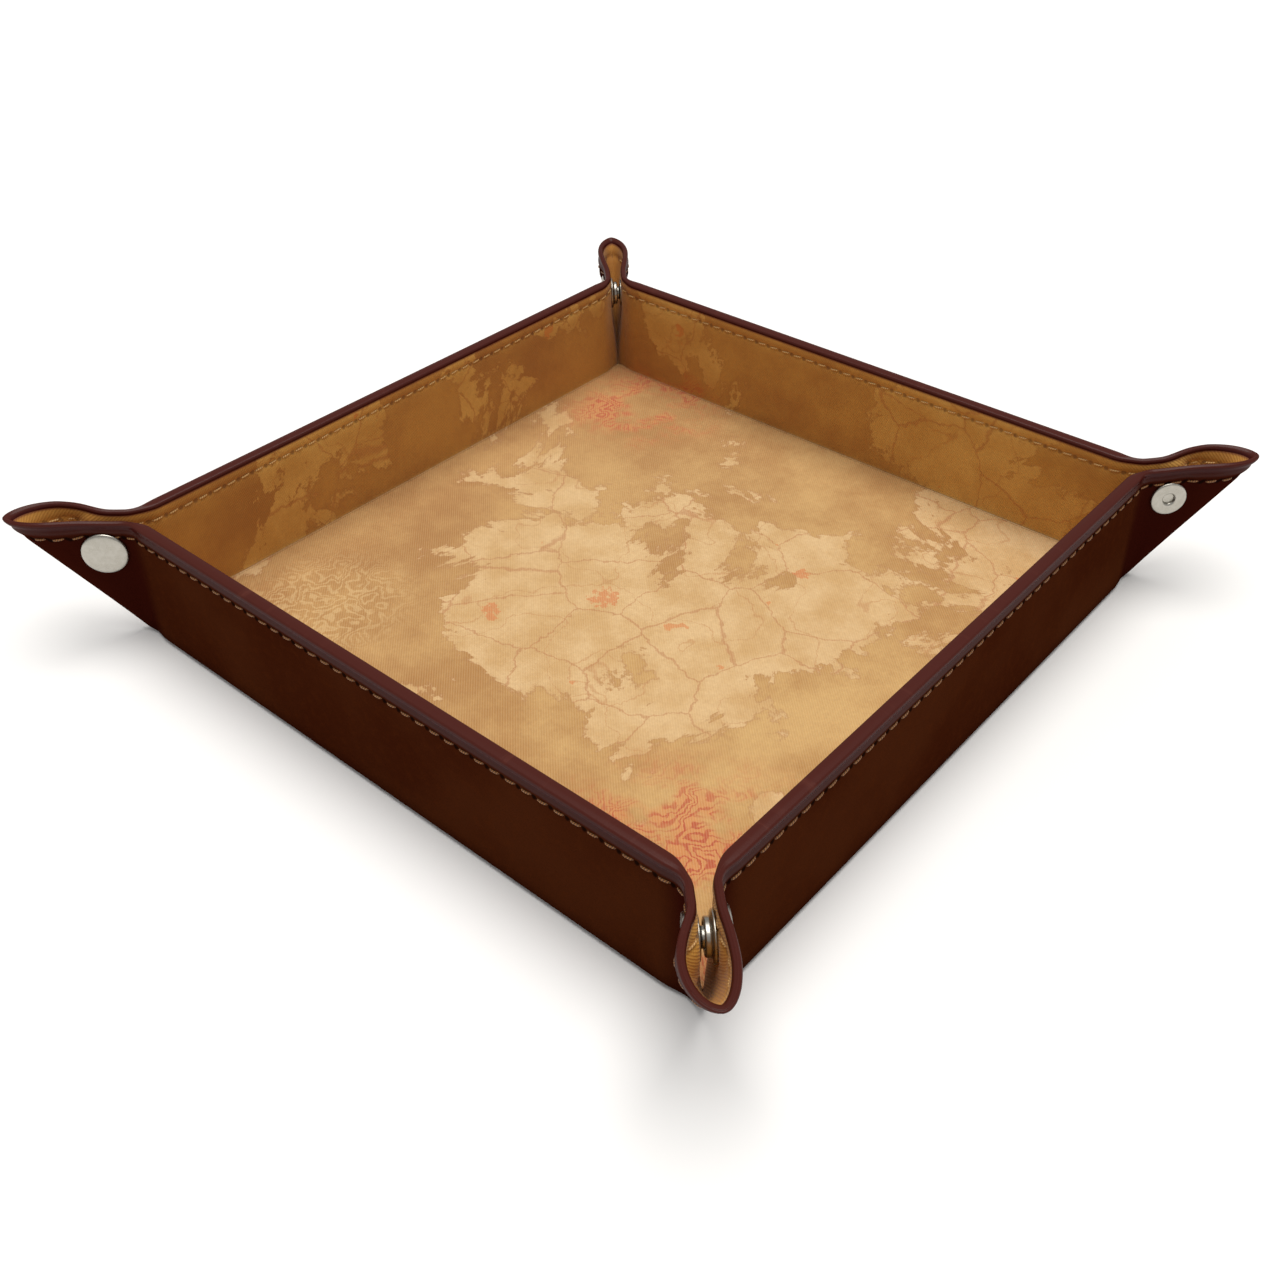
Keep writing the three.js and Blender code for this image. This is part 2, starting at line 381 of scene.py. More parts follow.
def wall_shell(name, rows, along, quarter, material):
    """A closed shell along a wall's straight length."""
    points, flat, seam = [], [], []
    for depth, up, down in rows:
        points.append(world(along, FOOT + depth, up, quarter))
        flat.append(flat_uv(along, up, quarter))
        seam.append(np.stack([np.abs(along), down + 0 * along], -1))
    points, flat, seam = (np.stack(a, 1) for a in (points, flat, seam))
    return make_mesh(name, points, tube_faces(len(along), len(rows), True), material, flat, seam)


# ---------------------------------------------------------------- base

def slab(name, outline, low, high, bevel, material):
    """A flat sheet with softened edges, from its outline in millimetres."""
    outline = np.asarray(outline, float)
    inner = outline * (1 - bevel / np.abs(outline).max(1, keepdims=True))
    rings = ((inner, low), (outline, low + bevel), (outline, high - bevel), (inner, high))
    n = len(outline)
    verts = np.concatenate([np.column_stack([ring, np.full(n, z)]) for ring, z in rings])
    faces = tube_faces(len(rings), n, False)
    seam = np.tile((0.0, RIM), (len(verts), 1))
    return make_mesh(name, verts * MM, faces, material, verts[:, :2] * MM, seam, sharp=30)


def turned_about(side_points):
    """A closed outline from the points of its front side, repeated on all four sides."""
    points = []
    for quarter in range(4):
        c, s = (1, 0, -1, 0)[quarter], (0, 1, 0, -1)[quarter]
        points += [(c * x - s * y, s * x + c * y) for x, y in side_points]
    return points


def make_base(leather, lining):
    edge = WALL_FOLD
    nick = 2.0  # cut off each corner
    cover = slab("base_leather", turned_about([(-edge + nick, -edge), (edge - nick, -edge)]),
                 0.0, COVER, 0.15, leather)
    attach(cover, "base")
    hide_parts("base_cover")

    floor_half = INSIDE - FLOOR_EDGE
    tip = floor_half + 1.9
    along = np.concatenate([np.linspace(-tip, -CORNER_START, 8), np.linspace(-90, 90, 7),
                            np.linspace(CORNER_START, tip, 8)[:-1]])
    front = [(a, -floor_half - 2.0 * smooth((abs(a) - CORNER_START) / 6)) for a in along]
    cloth = slab("base_map_cloth", turned_about(front), FLOOR - LINING, FLOOR, 0.12, lining)
    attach(cloth, "base")
    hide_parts("base_lining")


# ---------------------------------------------------------------- walls

def make_crease(side, quarter, lining):
    """The strip of lining where the floor turns up into a wall."""
    reach = INSIDE - LINING
    along = np.concatenate([np.linspace(-reach, -BEND_START, 9)[:-1],
                            np.linspace(-BEND_START, BEND_START, 41),
                            np.linspace(BEND_START, reach, 9)[1:]])
    lean = 1.3 * smooth((np.abs(along) - CORNER_START) / 7)
    # each point's place as (out, up), and its distance along the flat sheet
    top = FLOOR + 0.95
    section = ((-0.8, FLOOR + 0.03), (-0.25, FLOOR + 0.03), (-0.03, FLOOR + 0.25), (-0.03, top),
               (0.3, top), (0.3, FLOOR), (-0.25, FLOOR - 0.3), (-0.8, FLOOR - 0.3))
    run = (-0.8, -0.25, FLOOR + 0.25, top, top, FLOOR, -0.25, -0.8)
    points, flat, seam = [], [], []
    for (out, up), dist in zip(section, run):
        share = smooth((out + 0.8) / 0.7)
        points.append(world(along, out + lean * share, up, quarter))
        flat.append(flat_uv(along, dist, quarter))
        down = RIM - FLOOR if dist < 0 else RIM - FLOOR - 0.5
        seam.append(np.stack([np.abs(along), down + 0 * along], -1))
    points, flat, seam = (np.stack(a, 1) for a in (points, flat, seam))
    faces = tube_faces(len(along), len(section), True)
    crease = make_mesh(f"{side}_crease_cloth", points, faces, lining, flat, seam)
    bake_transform(crease)
    return crease


def make_wall(side, quarter, leather, lining):
    along = np.linspace(-BEND_START, BEND_START, 61)
    rim = np.full(len(along), RIM)
    half = np.full(len(along), FOOT)
    body = f"{side}_wall"
    cover = wall_shell(f"{side}_wall_leather", cover_section(rim, half), along, quarter, leather)
    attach(cover, body)
    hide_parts(f"{side}_wall_cover")
    cloth = wall_shell(f"{side}_wall_map_cloth", lining_section(rim, half, FLOOR + CLOTH_FOOT), along,
                       quarter, lining)
    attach(cloth, body)
    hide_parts(f"{side}_wall_lining")


def make_ear(side, quarter, which, leather, lining):
    end = ENDS[which]
    columns = ear_columns(15, 30, 19)
    rim = rim_height(columns)
    half = half_thick(columns)
    wall, ear = f"{side}_wall", f"{side}_{which}_ear"
    bulge = BULGES[f"{side}_{which}"]
    cover = ear_shell(f"{ear}_leather", cover_section(rim, half), columns, quarter, end, bulge, leather,
                      edge=lining)
    cloth = ear_shell(f"{ear}_map_cloth", lining_section(rim, half, FOOT + 0.1), columns, quarter, end,
                      bulge, lining)
    for piece, node, slot in ((cover, "cover", "leather_cover"), (cloth, "lining", "map_lining")):
        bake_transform(piece)
        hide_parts(f"{ear}_{node}")


# ---------------------------------------------------------------- stitches

STITCH_STEPS = 8  # along one stitch
STITCH_SIDES = 8  # round its thread


def stitch_rings(centre, ahead, proud, upward):
    """Rings of one stitch: it rises out of one needle hole and dips into the next."""
    rings = []
    for t in np.linspace(-1, 1, STITCH_STEPS + 1):
        lift = 0.62 * (1 - t ** 4) - 0.42
        size = THREAD_R * (0.55 + 0.45 * (1 - t ** 4))
        spot = centre + ahead * (t * STITCH_LENGTH / 2) + proud * lift
        ring = []
        for turn in np.linspace(0, 2 * math.pi, STITCH_SIDES, endpoint=False):
            ring.append(spot + upward * size * 1.1 * math.cos(turn) + proud * size * math.sin(turn))
        rings.append(ring)
    return rings


def make_stitches(name, spots, material):
    """One mesh of stitches from (centre, ahead, proud) in metres."""
    verts, faces, uvs = [], [], []
    for centre, ahead, proud in spots:
        upward = np.cross(proud, ahead)
        ahead = ahead + 0.1 * upward
        rings = stitch_rings(centre / MM, ahead, proud, upward)
        start = len(verts)
        for i, ring in enumerate(rings):
            for j, p in enumerate(ring):
                verts.append(p * MM)
                uvs.append((i / STITCH_STEPS * STITCH_LENGTH * MM, j / STITCH_SIDES * 2 * MM))
        skin = tube_faces(len(rings), STITCH_SIDES, False)
        faces += [tuple(start + k for k in face) for face in skin]
    return make_mesh(name, verts, faces, material, uvs)


def wall_frame_vector(along, out, quarter, end=1):
    """A direction given along the wall and outwards, in the tray's frame."""
    spot = world(along, out, 0.0, quarter, end) - world(0.0, 0.0, 0.0, quarter, end)
    return spot / max(np.linalg.norm(spot), 1e-12)


def seam_relief(facing):
    """How proud the surface is along the seam: the leather's outside, the lining's inside."""
    return cover_relief(STITCH_DOWN) if facing > 0 else lining_relief(STITCH_DOWN)


def wall_stitch_spots(quarter, facing):
    depth = FOOT + seam_relief(facing)
    count = int(BEND_START / STITCH_PITCH)
    ahead, proud = wall_frame_vector(facing, 0, quarter), wall_frame_vector(0, facing, quarter)
    spots = []
    for k in range(-count, count + 1):
        centre = world(k * STITCH_PITCH, FOOT + facing * depth, RIM - STITCH_DOWN, quarter)
        spots.append((centre, ahead, proud))
    return spots


def ear_stitch_spots(quarter, end, facing, bulge):
    columns = ear_columns(60, 240, 80)
    half = half_thick(columns)
    ups = rim_height(columns) - STITCH_DOWN
    along, out, lifted = ear_surface(columns, ups, facing * (half + seam_relief(facing)), bulge)
    run = run_along(ear_middle(columns, ups, bulge))
    first = (int(BEND_START / STITCH_PITCH) + 1) * STITCH_PITCH
    spots = []
    for s in np.arange(first, run[-1] - 3.0, STITCH_PITCH):
        i = int(np.searchsorted(run, s))
        centre = world(along[i], out[i], lifted[i], quarter, end)
        da, do = along[i + 1] - along[i - 1], out[i + 1] - out[i - 1]
        ahead = wall_frame_vector(da, do, quarter, end) * end * facing
        proud = wall_frame_vector(-do * facing, da * facing, quarter, end)
        spots.append((centre, ahead, proud))
    return spots


def make_seams(side, quarter, outer_thread, inner_thread):
    for facing, place, thread in ((1, "outer", outer_thread), (-1, "inner", inner_thread)):
        row = make_stitches(f"{side}_wall_{place}_stitches", wall_stitch_spots(quarter, facing), thread)
        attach(row, f"{side}_wall")
        for which, end in ENDS.items():
            row = make_stitches(f"{side}_{which}_ear_{place}_stitches",
                                ear_stitch_spots(quarter, end, facing, BULGES[f"{side}_{which}"]), thread)
            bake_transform(row)


# ---------------------------------------------------------------- snaps

def lathe(name, profile, seat, axis, material, segments=72):
    """A turned piece: profile is (radius, height above the seat) in millimetres."""
    axis = Vector(axis).normalized()
    sideways = axis.orthogonal().normalized()
    across = axis.cross(sideways)
    verts, uvs = [], []
    for radius, height in profile:
        for turn in np.linspace(0, 2 * math.pi, segments, endpoint=False):
            flat = (radius * math.cos(turn), radius * math.sin(turn))
            spot = sideways * flat[0] + across * flat[1] + axis * height
            verts.append((np.array(seat) + np.array(spot) * MM).tolist())
            uvs.append((flat[0] * MM, flat[1] * MM))
    return make_mesh(name, verts, tube_faces(len(profile), segments, True), material, uvs)


# Each turned piece's profile as (radius, height above its seat).
CAP = ((0.4, 0.0), (5.9, 0.0), (6.25, 0.08), (6.4, 0.3), (6.38, 0.55), (6.2, 0.78), (5.8, 0.95),
       (5.2, 1.08), (4.4, 1.22), (3.4, 1.36), (2.3, 1.47), (1.2, 1.54), (0.1, 1.57))
POST = ((2.0, 0.0), (4.9, 0.0), (5.15, 0.08), (5.25, 0.3), (5.15, 0.58), (4.9, 0.74), (4.5, 0.8),
        (3.9, 0.8), (3.6, 0.72), (3.2, 0.7), (2.9, 0.76), (2.5, 0.86), (2.15, 0.84), (1.85, 0.66),
        (1.65, 0.35), (1.55, 0.0), (1.5, -0.3), (1.75, -0.3))
SOCKET = ((1.3, 0.0), (4.9, 0.0), (5.3, 0.1), (5.5, 0.35), (5.45, 0.7), (5.1, 0.95), (4.5, 1.05),
          (4.15, 1.2), (4.05, 1.5), (4.1, 2.1), (4.0, 2.35), (3.7, 2.5), (3.25, 2.5), (3.05, 2.35),
          (3.0, 2.0), (3.0, 0.6), (2.7, 0.5), (0.1, 0.5), (0.1, 0.3), (1.3, 0.3))
STUD = ((1.6, 0.0), (4.5, 0.0), (4.75, 0.08), (4.8, 0.25), (4.7, 0.42), (4.4, 0.5), (2.9, 0.5),
        (2.5, 0.6), (2.3, 0.8), (2.25, 1.2), (2.4, 1.6), (2.4, 1.85), (2.25, 2.08), (1.95, 2.2),
        (1.7, 2.15), (1.6, 1.9), (1.6, 0.3))


def make_snaps(side, quarter, nickel):
    """A snap piece on each face of each ear: cap and socket on one ear, post and stud on the other."""
    c = math.sqrt(0.5)
    for which, kinds in (("left", (("cap", 1, CAP), ("socket", -1, SOCKET))),
                         ("right", (("post", 1, POST), ("stud", -1, STUD)))):
        end = ENDS[which]
        outward = wall_frame_vector(-1, 1, quarter, end)
        for kind, facing, profile in kinds:
            q = facing * (EAR_HALF + 0.05)
            seat = world(EAR_FOLD + (SNAP_OUT - q) * c, FOOT + (SNAP_OUT + q) * c, SNAP_MIDDLE.z,
                         quarter, end)
            name = f"{side}_{which}_ear_snap_{kind}"
            piece = lathe(f"{name}_turned", profile, seat, facing * outward, nickel)
            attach(piece, f"{side}_{which}_ear")
            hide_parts(name)


# ---------------------------------------------------------------- materials

def srgb(r, g, b):
    """A linear colour from the usual 0 to 255 values."""
    linear = [(c / 255) / 12.92 if c <= 10 else ((c / 255 + 0.055) / 1.055) ** 2.4 for c in (r, g, b)]
    return tuple(linear) + (1.0,)


class Nodes:
    """Builds a material, one node per call. Each call returns the new node's output."""

    def __init__(self, name):
        self.material = bpy.data.materials.new(name)
        self.material.use_nodes = True
        self.tree = self.material.node_tree
        self.tree.nodes.clear()

    def add(self, kind, inputs, **settings):
        node = self.tree.nodes.new(kind)
        for key, value in settings.items():
            setattr(node, key, value)
        for key, value in inputs.items():
            if isinstance(value, bpy.types.NodeSocket):
                self.tree.links.new(value, node.inputs[key])
            else:
                node.inputs[key].default_value = value
        return node

    def math(self, operation, a, b=0.0, c=0.0):
        node = self.add("ShaderNodeMath", {0: a, 1: b, 2: c}, operation=operation)
        return node.outputs[0]

    def scaled(self, vector, factor, shift=(0, 0, 0)):
        by = factor if isinstance(factor, tuple) else (factor,) * 3
        node = self.add("ShaderNodeVectorMath", {0: vector, 1: by, 2: shift}, operation="MULTIPLY_ADD")
        return node.outputs[0]

    def step(self, value, low, high):
        """0 below low and 1 above high, smooth between; low may be the larger."""
        node = self.add("ShaderNodeMapRange", {"Value": value, "From Min": low, "From Max": high},
                        interpolation_type="SMOOTHSTEP")
        return node.outputs["Result"]

    def span(self, value, low, high, to_low, to_high):
        node = self.add("ShaderNodeMapRange", {"Value": value, "From Min": low, "From Max": high,
                                               "To Min": to_low, "To Max": to_high})
        return node.outputs["Result"]

    def noise(self, vector, scale, detail=2.0, rough=0.5, warp=0.0):
        node = self.add("ShaderNodeTexNoise", {"Vector": vector, "Scale": scale, "Detail": detail,
                                               "Roughness": rough, "Distortion": warp})
        return node.outputs["Fac"]

    def mix(self, share, a, b, blend="MIX"):
        node = self.add("ShaderNodeMix", {"Factor": share, 6: a, 7: b}, data_type="RGBA",
                        blend_type=blend)
        return node.outputs[2]

    def uv(self, layer):
        return self.add("ShaderNodeUVMap", {}, uv_map=layer).outputs[0]

    def parts(self, vector):
        return self.add("ShaderNodeSeparateXYZ", {"Vector": vector}).outputs

    def bump(self, height, distance, normal=None):
        inputs = {"Height": height, "Distance": distance, "Strength": 1.0}
        if normal is not None:
            inputs["Normal"] = normal
        return self.add("ShaderNodeBump", inputs).outputs[0]

    def surface(self, **inputs):
        """The shader itself. Names with a space are written with an underscore."""
        named = {key.replace("_", " "): value for key, value in inputs.items()}
        shader = self.add("ShaderNodeBsdfPrincipled", named)
        out = self.add("ShaderNodeOutputMaterial", {})
        self.tree.links.new(shader.outputs[0], out.inputs[0])
        return self.material


def needle_holes(n, along, down):
    """1 in the needle holes between stitches, 0 elsewhere. along and down are in millimetres."""
    phase = n.math("FRACT", n.math("DIVIDE", along, STITCH_PITCH))
    off = n.math("MULTIPLY", n.math("SUBTRACT", phase, 0.5), STITCH_PITCH)
    drop = n.math("SUBTRACT", down, STITCH_DOWN)
    far = n.math("SQRT", n.math("ADD", n.math("MULTIPLY", off, off), n.math("MULTIPLY", drop, drop)))
    return n.step(far, 1.0, 0.45)


def leather_material():
    n = Nodes("brown_leather")
    flat = n.scaled(n.uv("flat"), 1000.0)
    along, down = n.parts(n.uv("seam"))[:2]
    broad = n.noise(flat, 0.022, 3, 0.5)
    fine = n.noise(flat, 0.35, 4, 0.6)
    pores = n.add("ShaderNodeTexVoronoi", {"Vector": flat, "Scale": 1.1, "Randomness": 1.0},
                  feature="DISTANCE_TO_EDGE").outputs["Distance"]
    colour = n.mix(n.step(broad, 0.35, 0.65), srgb(58, 23, 9), srgb(67, 31, 14))
    colour = n.mix(n.math("MULTIPLY", n.step(fine, 0.45, 0.7), 0.25), colour, srgb(76, 34, 12))
    # painted shade: beyond the bend, the ears' leather is drawn darker and redder where it faces away
    # from the light
    ear_painted_shade = n.math("MULTIPLY", n.step(along, 91.0, 99.0), n.step(down, 1.5, 5.0))
    colour = n.mix(n.math("MULTIPLY", ear_painted_shade, 0.85), colour, srgb(46, 11, 7))
    # painted shade: the walls darken towards their foot at the table
    colour = n.mix(n.math("MULTIPLY", n.step(down, 33.0, 38.5), 0.6), colour, srgb(36, 9, 4))
    colour = n.mix(n.step(down, 4.1, 3.0), colour, srgb(60, 22, 14))
    # painted shade: the groove and shoulder just below the rim are drawn a deep dark red
    colour = n.mix(n.math("MULTIPLY", n.step(down, 2.6, 1.7), 0.95), colour, srgb(58, 8, 5))
    # the rim's top in its edge paint colour, drawn lighter as painted light where it faces the lamp
    colour = n.mix(n.step(down, 0.75, 0.35), colour, srgb(70, 27, 20))
    # rubbed wear and painted highlight: lighter, redder patches along the rim's edges
    rub_and_glint_noise = n.noise(flat, 0.16, 6, 0.7)
    rub_and_painted_highlight = n.math("MULTIPLY", n.step(rub_and_glint_noise, 0.55, 0.75), n.step(down, 3.2, 0.4))
    colour = n.mix(n.math("MULTIPLY", rub_and_painted_highlight, 0.25), colour, srgb(112, 62, 50))
    # painted shade: dark spots in the needle holes between stitches
    colour = n.mix(n.math("MULTIPLY", needle_holes(n, along, down), 0.9), colour, srgb(20, 9, 6))
    rough = n.span(n.noise(flat, 0.12, 3, 0.6), 0.3, 0.7, 0.42, 0.56)
    rough = n.math("SUBTRACT", rough, n.math("MULTIPLY", n.step(down, 3.4, 2.0), 0.12))
    grain = n.math("ADD", n.step(pores, 0.0, 0.16), n.math("MULTIPLY", fine, 0.6))
    normal = n.bump(grain, 0.00003)
    return n.surface(Base_Color=colour, Roughness=rough, Normal=normal, Specular_IOR_Level=0.0,
                     Coat_Weight=n.math("MULTIPLY", n.step(down, 3.6, 2.4), 0.3), Coat_Roughness=0.28)


def spot_mask(n, flat, centre, radius):
    """1 near a place on the flat sheet, fading out to 0 at a radius, in millimetres."""
    away = n.add("ShaderNodeVectorMath", {0: flat, 1: centre + (0.0,)}, operation="DISTANCE")
    return n.step(away.outputs["Value"], radius, radius * 0.35)


# Where the printed land gathers: centre on the flat sheet, radius and weight. Then the blots on it.
LANDS = (((-4.0, -8.0), 82.0, 0.16), ((70.0, 62.0), 60.0, 0.12), ((-126.0, -38.0), 44.0, 0.15),
         ((45.0, 126.0), 52.0, 0.14), ((-70.0, 126.0), 24.0, 0.14))
BLOTS = (((-23.0, -33.0), 6.0), ((-3.0, -6.0), 7.5), ((34.0, 40.0), 5.0))


def map_material():
    """Woven lining printed with an old-style map of no real or known place."""
    n = Nodes("map_lining_cloth")
    flat = n.scaled(n.uv("flat"), 1000.0)
    along, down = n.parts(n.uv("seam"))[:2]
    wobble = n.add("ShaderNodeTexNoise",
                   {"Vector": flat, "Scale": 0.09, "Detail": 5.0, "Roughness": 0.65})
    bent = n.add("ShaderNodeVectorMath", {0: wobble.outputs["Color"], 1: (9.0, 9.0, 0.0), 2: flat},
                 operation="MULTIPLY_ADD").outputs[0]
    # land is where a rough field rises above sea level
    field = n.noise(n.scaled(flat, 1.0, (31.0, -12.0, 0.0)), 0.02, 9, 0.66, 0.4)
    for centre, radius, weight in LANDS:
        field = n.math("ADD", field, n.math("MULTIPLY", spot_mask(n, flat, centre, radius), weight))
    frayed = n.math("SUBTRACT", n.noise(flat, 0.35, 5, 0.7), 0.5)
    ragged = n.math("ADD", field, n.math("MULTIPLY", frayed, 0.05))
    land = n.step(ragged, 0.573, 0.58)
    coast = n.math("MULTIPLY", n.step(ragged, 0.56, 0.574), n.step(ragged, 0.588, 0.577))
    stain = n.noise(flat, 0.02, 8, 0.7)
    fibre = n.noise(flat, 0.8, 4, 0.7)
    colour = n.mix(n.step(stain, 0.35, 0.65), srgb(168, 119, 56), srgb(202, 162, 99))
    # the cloth is drawn darker towards the left end of the flat sheet
    left_darkening = n.span(n.parts(flat)[0], -100.0, 60.0, 0.4, 0.0)
    colour = n.mix(left_darkening, colour, srgb(216, 184, 150), "MULTIPLY")
    patch = n.step(n.noise(flat, 0.06, 5, 0.6), 0.35, 0.65)
    ground = n.mix(patch, srgb(198, 158, 101), srgb(217, 183, 132))
    colour = n.mix(n.math("MULTIPLY", land, 0.92), colour, ground)
    colour = n.mix(n.math("MULTIPLY", coast, 0.45), colour, srgb(160, 106, 58))
    # borders, rivers and lakes
    cells = n.add("ShaderNodeTexVoronoi", {"Vector": bent, "Scale": 0.036},
                  feature="DISTANCE_TO_EDGE").outputs["Distance"]
    border = n.math("MULTIPLY", n.step(cells, 0.014, 0.004), land)
    colour = n.mix(n.math("MULTIPLY", border, 0.5), colour, srgb(164, 92, 44))
    stream = n.math("ABSOLUTE", n.math("SUBTRACT", n.noise(bent, 0.03, 2, 0.5), 0.5))
    stream = n.math("MULTIPLY", n.step(stream, 0.005, 0.001), land)
    colour = n.mix(n.math("MULTIPLY", stream, 0.45), colour, srgb(176, 116, 62))
    lake = n.math("MULTIPLY", n.step(n.noise(bent, 0.065, 3, 0.6), 0.685, 0.7), land)
    colour = n.mix(n.math("MULTIPLY", lake, 0.75), colour, srgb(204, 122, 62))
    torn = n.math("MULTIPLY", n.math("SUBTRACT", n.noise(flat, 0.45, 4, 0.7), 0.5), 3.0)
    for centre, radius in BLOTS:
        blot = n.step(n.math("ADD", spot_mask(n, bent, centre, radius), torn), 0.75, 0.9)
        blot = n.math("MULTIPLY", blot, n.step(spot_mask(n, bent, centre, radius), 0.0, 0.2))
        colour = n.mix(n.math("MULTIPLY", blot, 0.7), colour, srgb(200, 108, 50))
    # reddish hill drawing in two corners, and a pale one in a third
    contour = n.math("FRACT", n.math("MULTIPLY", n.noise(bent, 0.07, 2, 0.55), 15.0))
    inked = n.step(n.math("ABSOLUTE", n.math("SUBTRACT", contour, 0.5)), 0.28, 0.1)
    hills = n.math("MAXIMUM", spot_mask(n, flat, (78.0, -80.0), 48.0),
                   spot_mask(n, flat, (-72.0, 84.0), 36.0))
    hills = n.math("MULTIPLY", hills, n.step(n.noise(flat, 0.05, 3, 0.6), 0.42, 0.6))
    colour = n.mix(n.math("MULTIPLY", hills, 0.65), colour, srgb(210, 124, 64))
    colour = n.mix(n.math("MULTIPLY", n.math("MULTIPLY", inked, hills), 0.9), colour, srgb(176, 52, 20))
    pale = n.math("MULTIPLY", inked, spot_mask(n, flat, (-68.0, -66.0), 32.0))
    colour = n.mix(n.math("MULTIPLY", pale, 0.35), colour, srgb(232, 202, 146))
    # weave
    across = n.parts(flat)
    twill = n.math("SINE", n.math("MULTIPLY", n.math("ADD", across[0], across[1]), 2 * math.pi / 0.95))
    weft = n.math("SINE", n.math("MULTIPLY", n.math("SUBTRACT", across[0], across[1]), 2 * math.pi / 0.6))
    weave = n.math("ADD", twill, n.math("MULTIPLY", weft, 0.5))
    colour = n.mix(n.span(weave, -1.5, 1.5, 0.0, 0.2), colour, srgb(244, 216, 172))
    colour = n.mix(n.span(fibre, 0.3, 0.7, 0.25, 0.0), colour, srgb(150, 104, 56))
    # the upright walls, darker and more orange as painted shade, then the seam's needle holes as painted
    # shade, the turned edge, and painted shade along the crease
    # painted shade: the cloth on the walls is multiplied darker and more orange
    wall_painted_shade = n.step(down, RIM - FLOOR, RIM - FLOOR - 0.5)
    colour = n.mix(n.math("MULTIPLY", wall_painted_shade, 0.8), colour, srgb(250, 220, 116), "MULTIPLY")
    # painted shade: dark spots in the needle holes
    colour = n.mix(n.math("MULTIPLY", needle_holes(n, along, down), 0.5), colour, srgb(84, 44, 22))
    colour = n.mix(n.math("MULTIPLY", n.step(down, 1.9, 1.3), 0.8), colour, srgb(104, 40, 22))
    # painted shade: a dark line along the crease where the floor meets the wall
    crease_shade_distance = n.math("ABSOLUTE", n.math("SUBTRACT", down, RIM - FLOOR))
    colour = n.mix(n.math("MULTIPLY", n.step(crease_shade_distance, 1.3, 0.2), 0.12), colour, srgb(120, 72, 36))
    normal = n.bump(n.math("ADD", weave, n.math("MULTIPLY", fibre, 1.5)), 0.00003)
    return n.surface(Base_Color=colour, Roughness=n.span(fibre, 0.3, 0.7, 0.72, 0.88), Normal=normal,
                     Sheen_Weight=0.12, Sheen_Roughness=0.4)


def thread_material(name, light, dark):
    n = Nodes(name)
    run, round_ = n.parts(n.scaled(n.uv("flat"), 1000.0))[:2]
    wound = n.math("ADD", run, n.math("MULTIPLY", round_, 0.35))
    ply = n.math("SINE", n.math("MULTIPLY", wound, 2 * math.pi / 0.7))
    colour = n.mix(n.span(ply, -1.0, 1.0, 0.0, 1.0), dark, light)
    return n.surface(Base_Color=colour, Roughness=n.span(ply, -1.0, 1.0, 0.7, 0.5),
                     Normal=n.bump(ply, 0.00004))


def nickel_material():
    n = Nodes("satin_nickel")
    face = n.scaled(n.uv("flat"), 1000.0)
    blotch = n.noise(face, 0.5, 4, 0.6)
    hair = n.noise(n.scaled(face, (9.0, 0.7, 1.0)), 1.0, 3, 0.6)
    colour = n.mix(n.step(blotch, 0.35, 0.7), srgb(172, 168, 158), srgb(184, 180, 171))
    rough = n.span(n.math("ADD", blotch, n.math("MULTIPLY", hair, 0.5)), 0.4, 1.0, 0.2, 0.38)
    return n.surface(Base_Color=colour, Metallic=1.0, Roughness=rough, Normal=n.bump(hair, 0.000006))


def board_material():
    n = Nodes("grey_board")
    where = n.scaled(n.add("ShaderNodeTexCoord", {}).outputs["Object"], 1000.0)
    fleck = n.noise(where, 0.9, 5, 0.7)
    colour = n.mix(n.step(fleck, 0.35, 0.7), srgb(128, 112, 92), srgb(160, 144, 120))
    return n.surface(Base_Color=colour, Roughness=n.span(fleck, 0.3, 0.7, 0.8, 0.95),
                     Normal=n.bump(fleck, 0.00005))


def floor_material():
    n = Nodes("studio_floor")
    where = n.add("ShaderNodeTexCoord", {}).outputs["Object"]
    cloud = n.noise(where, 3.0, 3, 0.5)
    colour = n.mix(n.step(cloud, 0.3, 0.7), srgb(243, 242, 240), srgb(248, 247, 246))
    return n.surface(Base_Color=colour, Roughness=n.span(cloud, 0.3, 0.7, 0.85, 0.95))


# ---------------------------------------------------------------- studio

def make_camera():
    """The photo's view: from the front right and above, towards the middle of the tray."""
    azimuth, elevation, roll = (math.radians(a) for a in (40.9, 34.9, -0.65))
    back = Vector((math.sin(azimuth) * math.cos(elevation), -math.cos(azimuth) * math.cos(elevation),
                   math.sin(elevation)))
    right = Vector((math.cos(azimuth), math.sin(azimuth), 0.0))
    up = back.cross(right)
    x_axis = right * math.cos(roll) + up * math.sin(roll)
    y_axis = up * math.cos(roll) - right * math.sin(roll)
    data = bpy.data.cameras.new("camera")
    data.sensor_width = 36.0
    data.lens = 40.13
    data.shift_x = -0.0059
    data.shift_y = -0.0734
    data.clip_start = 0.01
    data.clip_end = 100.0
    camera = bpy.data.objects.new("camera", data)
    target = Vector((0.0, 0.0, RIM * MM / 2))
    distance = 0.4115
    place = target + back * distance
    camera.matrix_world = Matrix.Translation(place) @ Matrix((x_axis, y_axis, back)).transposed().to_4x4()
    bpy.context.scene.collection.objects.link(camera)
    bpy.context.scene.camera = camera


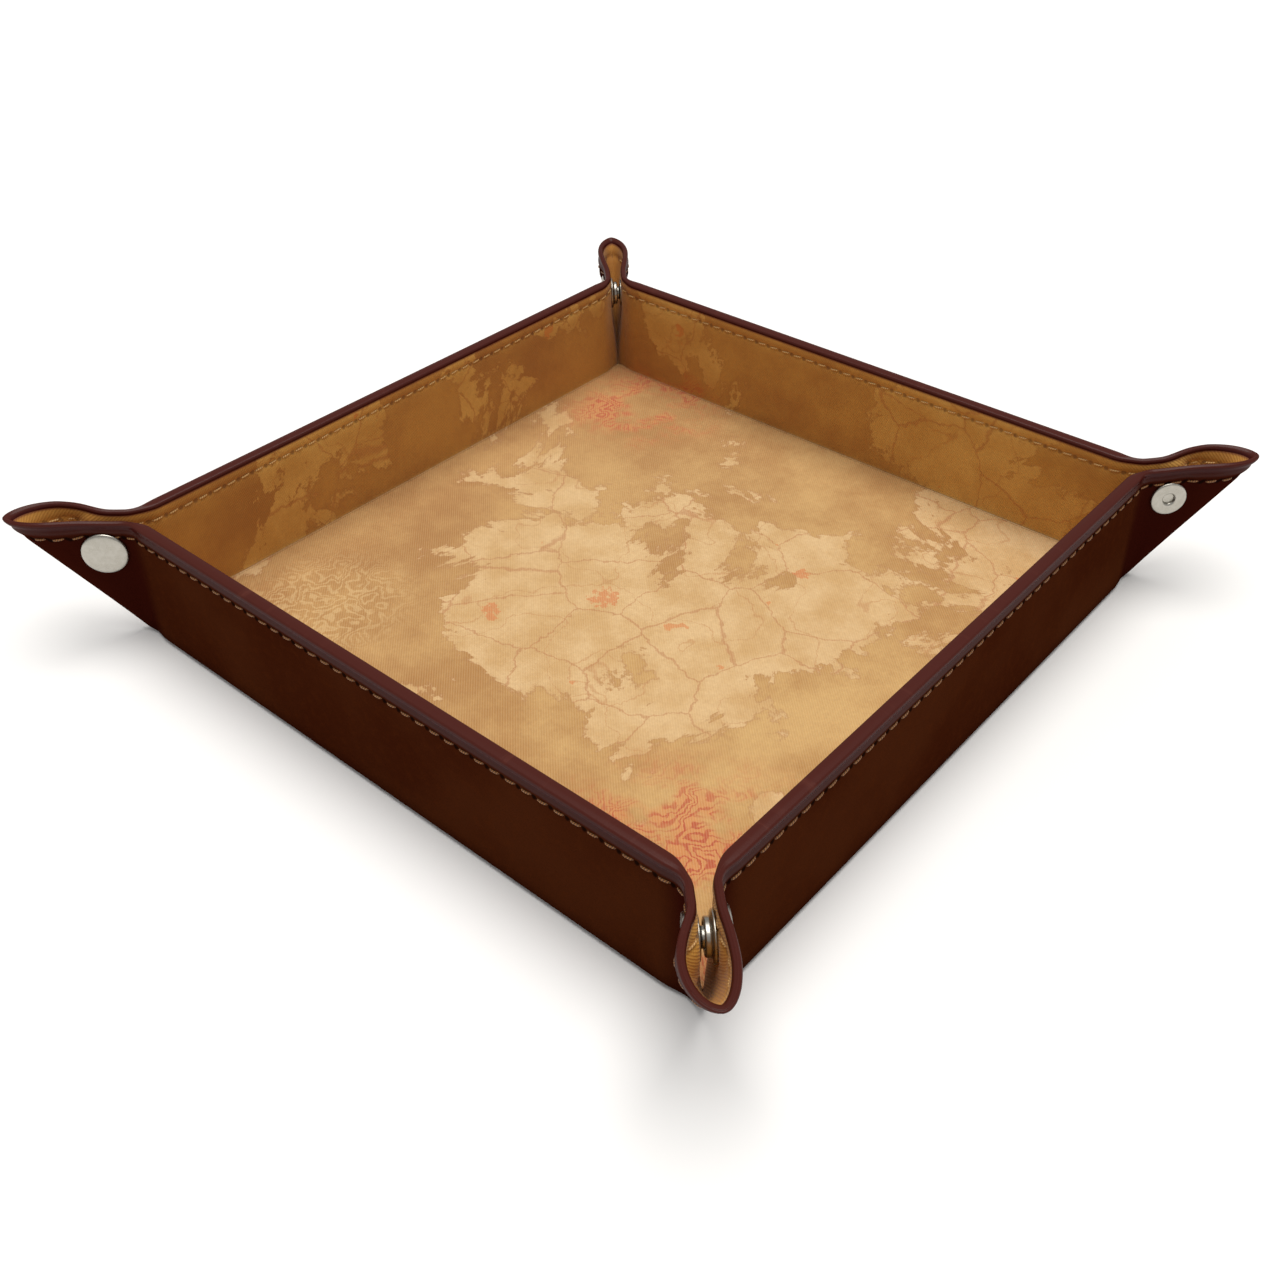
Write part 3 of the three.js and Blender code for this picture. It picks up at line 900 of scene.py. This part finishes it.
def area_light(name, place, target, size, power, colour):
    data = bpy.data.lights.new(name, "AREA")
    data.shape = "DISK"
    data.size = size
    data.energy = power
    data.color = colour
    light = bpy.data.objects.new(name, data)
    light.location = place
    light.rotation_euler = (Vector(target) - Vector(place)).to_track_quat("-Z", "Y").to_euler()
    bpy.context.scene.collection.objects.link(light)


def make_studio():
    world_shade = bpy.data.worlds.new("studio")
    world_shade.use_nodes = True
    tree = world_shade.node_tree
    shade = tree.nodes.get("Background")
    shade.inputs["Color"].default_value = (1.0, 1.0, 1.0, 1.0)
    # a dim surround for the tray, behind it a white backdrop
    seen = tree.nodes.new("ShaderNodeLightPath")
    strength = tree.nodes.new("ShaderNodeMath")
    strength.operation = "MULTIPLY_ADD"
    strength.inputs[1].default_value = 0.65
    strength.inputs[2].default_value = 0.45
    tree.links.new(seen.outputs["Is Camera Ray"], strength.inputs[0])
    tree.links.new(strength.outputs[0], shade.inputs["Strength"])
    bpy.context.scene.world = world_shade
    area_light("overhead", (0.0, 1.2, 13.2), (0.0, 0.0, 0.0), 12.0, 1728.0, (1.0, 0.98, 0.95))
    side = 8.0
    level = -0.0004  # just clear of the tray's underside
    corners = [(-side, -side, level), (side, -side, level), (side, side, level), (-side, side, level)]
    mesh = bpy.data.meshes.new("floor")
    mesh.from_pydata(corners, [], [(0, 1, 2, 3)])
    mesh.materials.append(floor_material())
    floor = bpy.data.objects.new("floor", mesh)
    bpy.context.scene.collection.objects.link(floor)
    bpy.context.scene.view_settings.view_transform = "Standard"


def build():
    """Every piece of the tray, one side after the other."""
    leather = leather_material()
    lining = map_material()
    outer_thread = thread_material("tan_thread", srgb(150, 98, 46), srgb(88, 54, 26))
    inner_thread = thread_material("cream_thread", srgb(224, 182, 118), srgb(168, 122, 68))
    nickel = nickel_material()
    board = board_material()
    for name, node in frame["nodes"].items():
        if name.endswith("board"):
            node.data.materials.clear()
            node.data.materials.append(board)
    make_base(leather, lining)
    for quarter, side in enumerate(SIDES):
        crease = make_crease(side, quarter, lining)
        make_wall(side, quarter, leather, lining)
        for which in ENDS:
            make_ear(side, quarter, which, leather, lining)
        make_seams(side, quarter, outer_thread, inner_thread)
        make_snaps(side, quarter, nickel)


make_camera()
make_studio()
build()
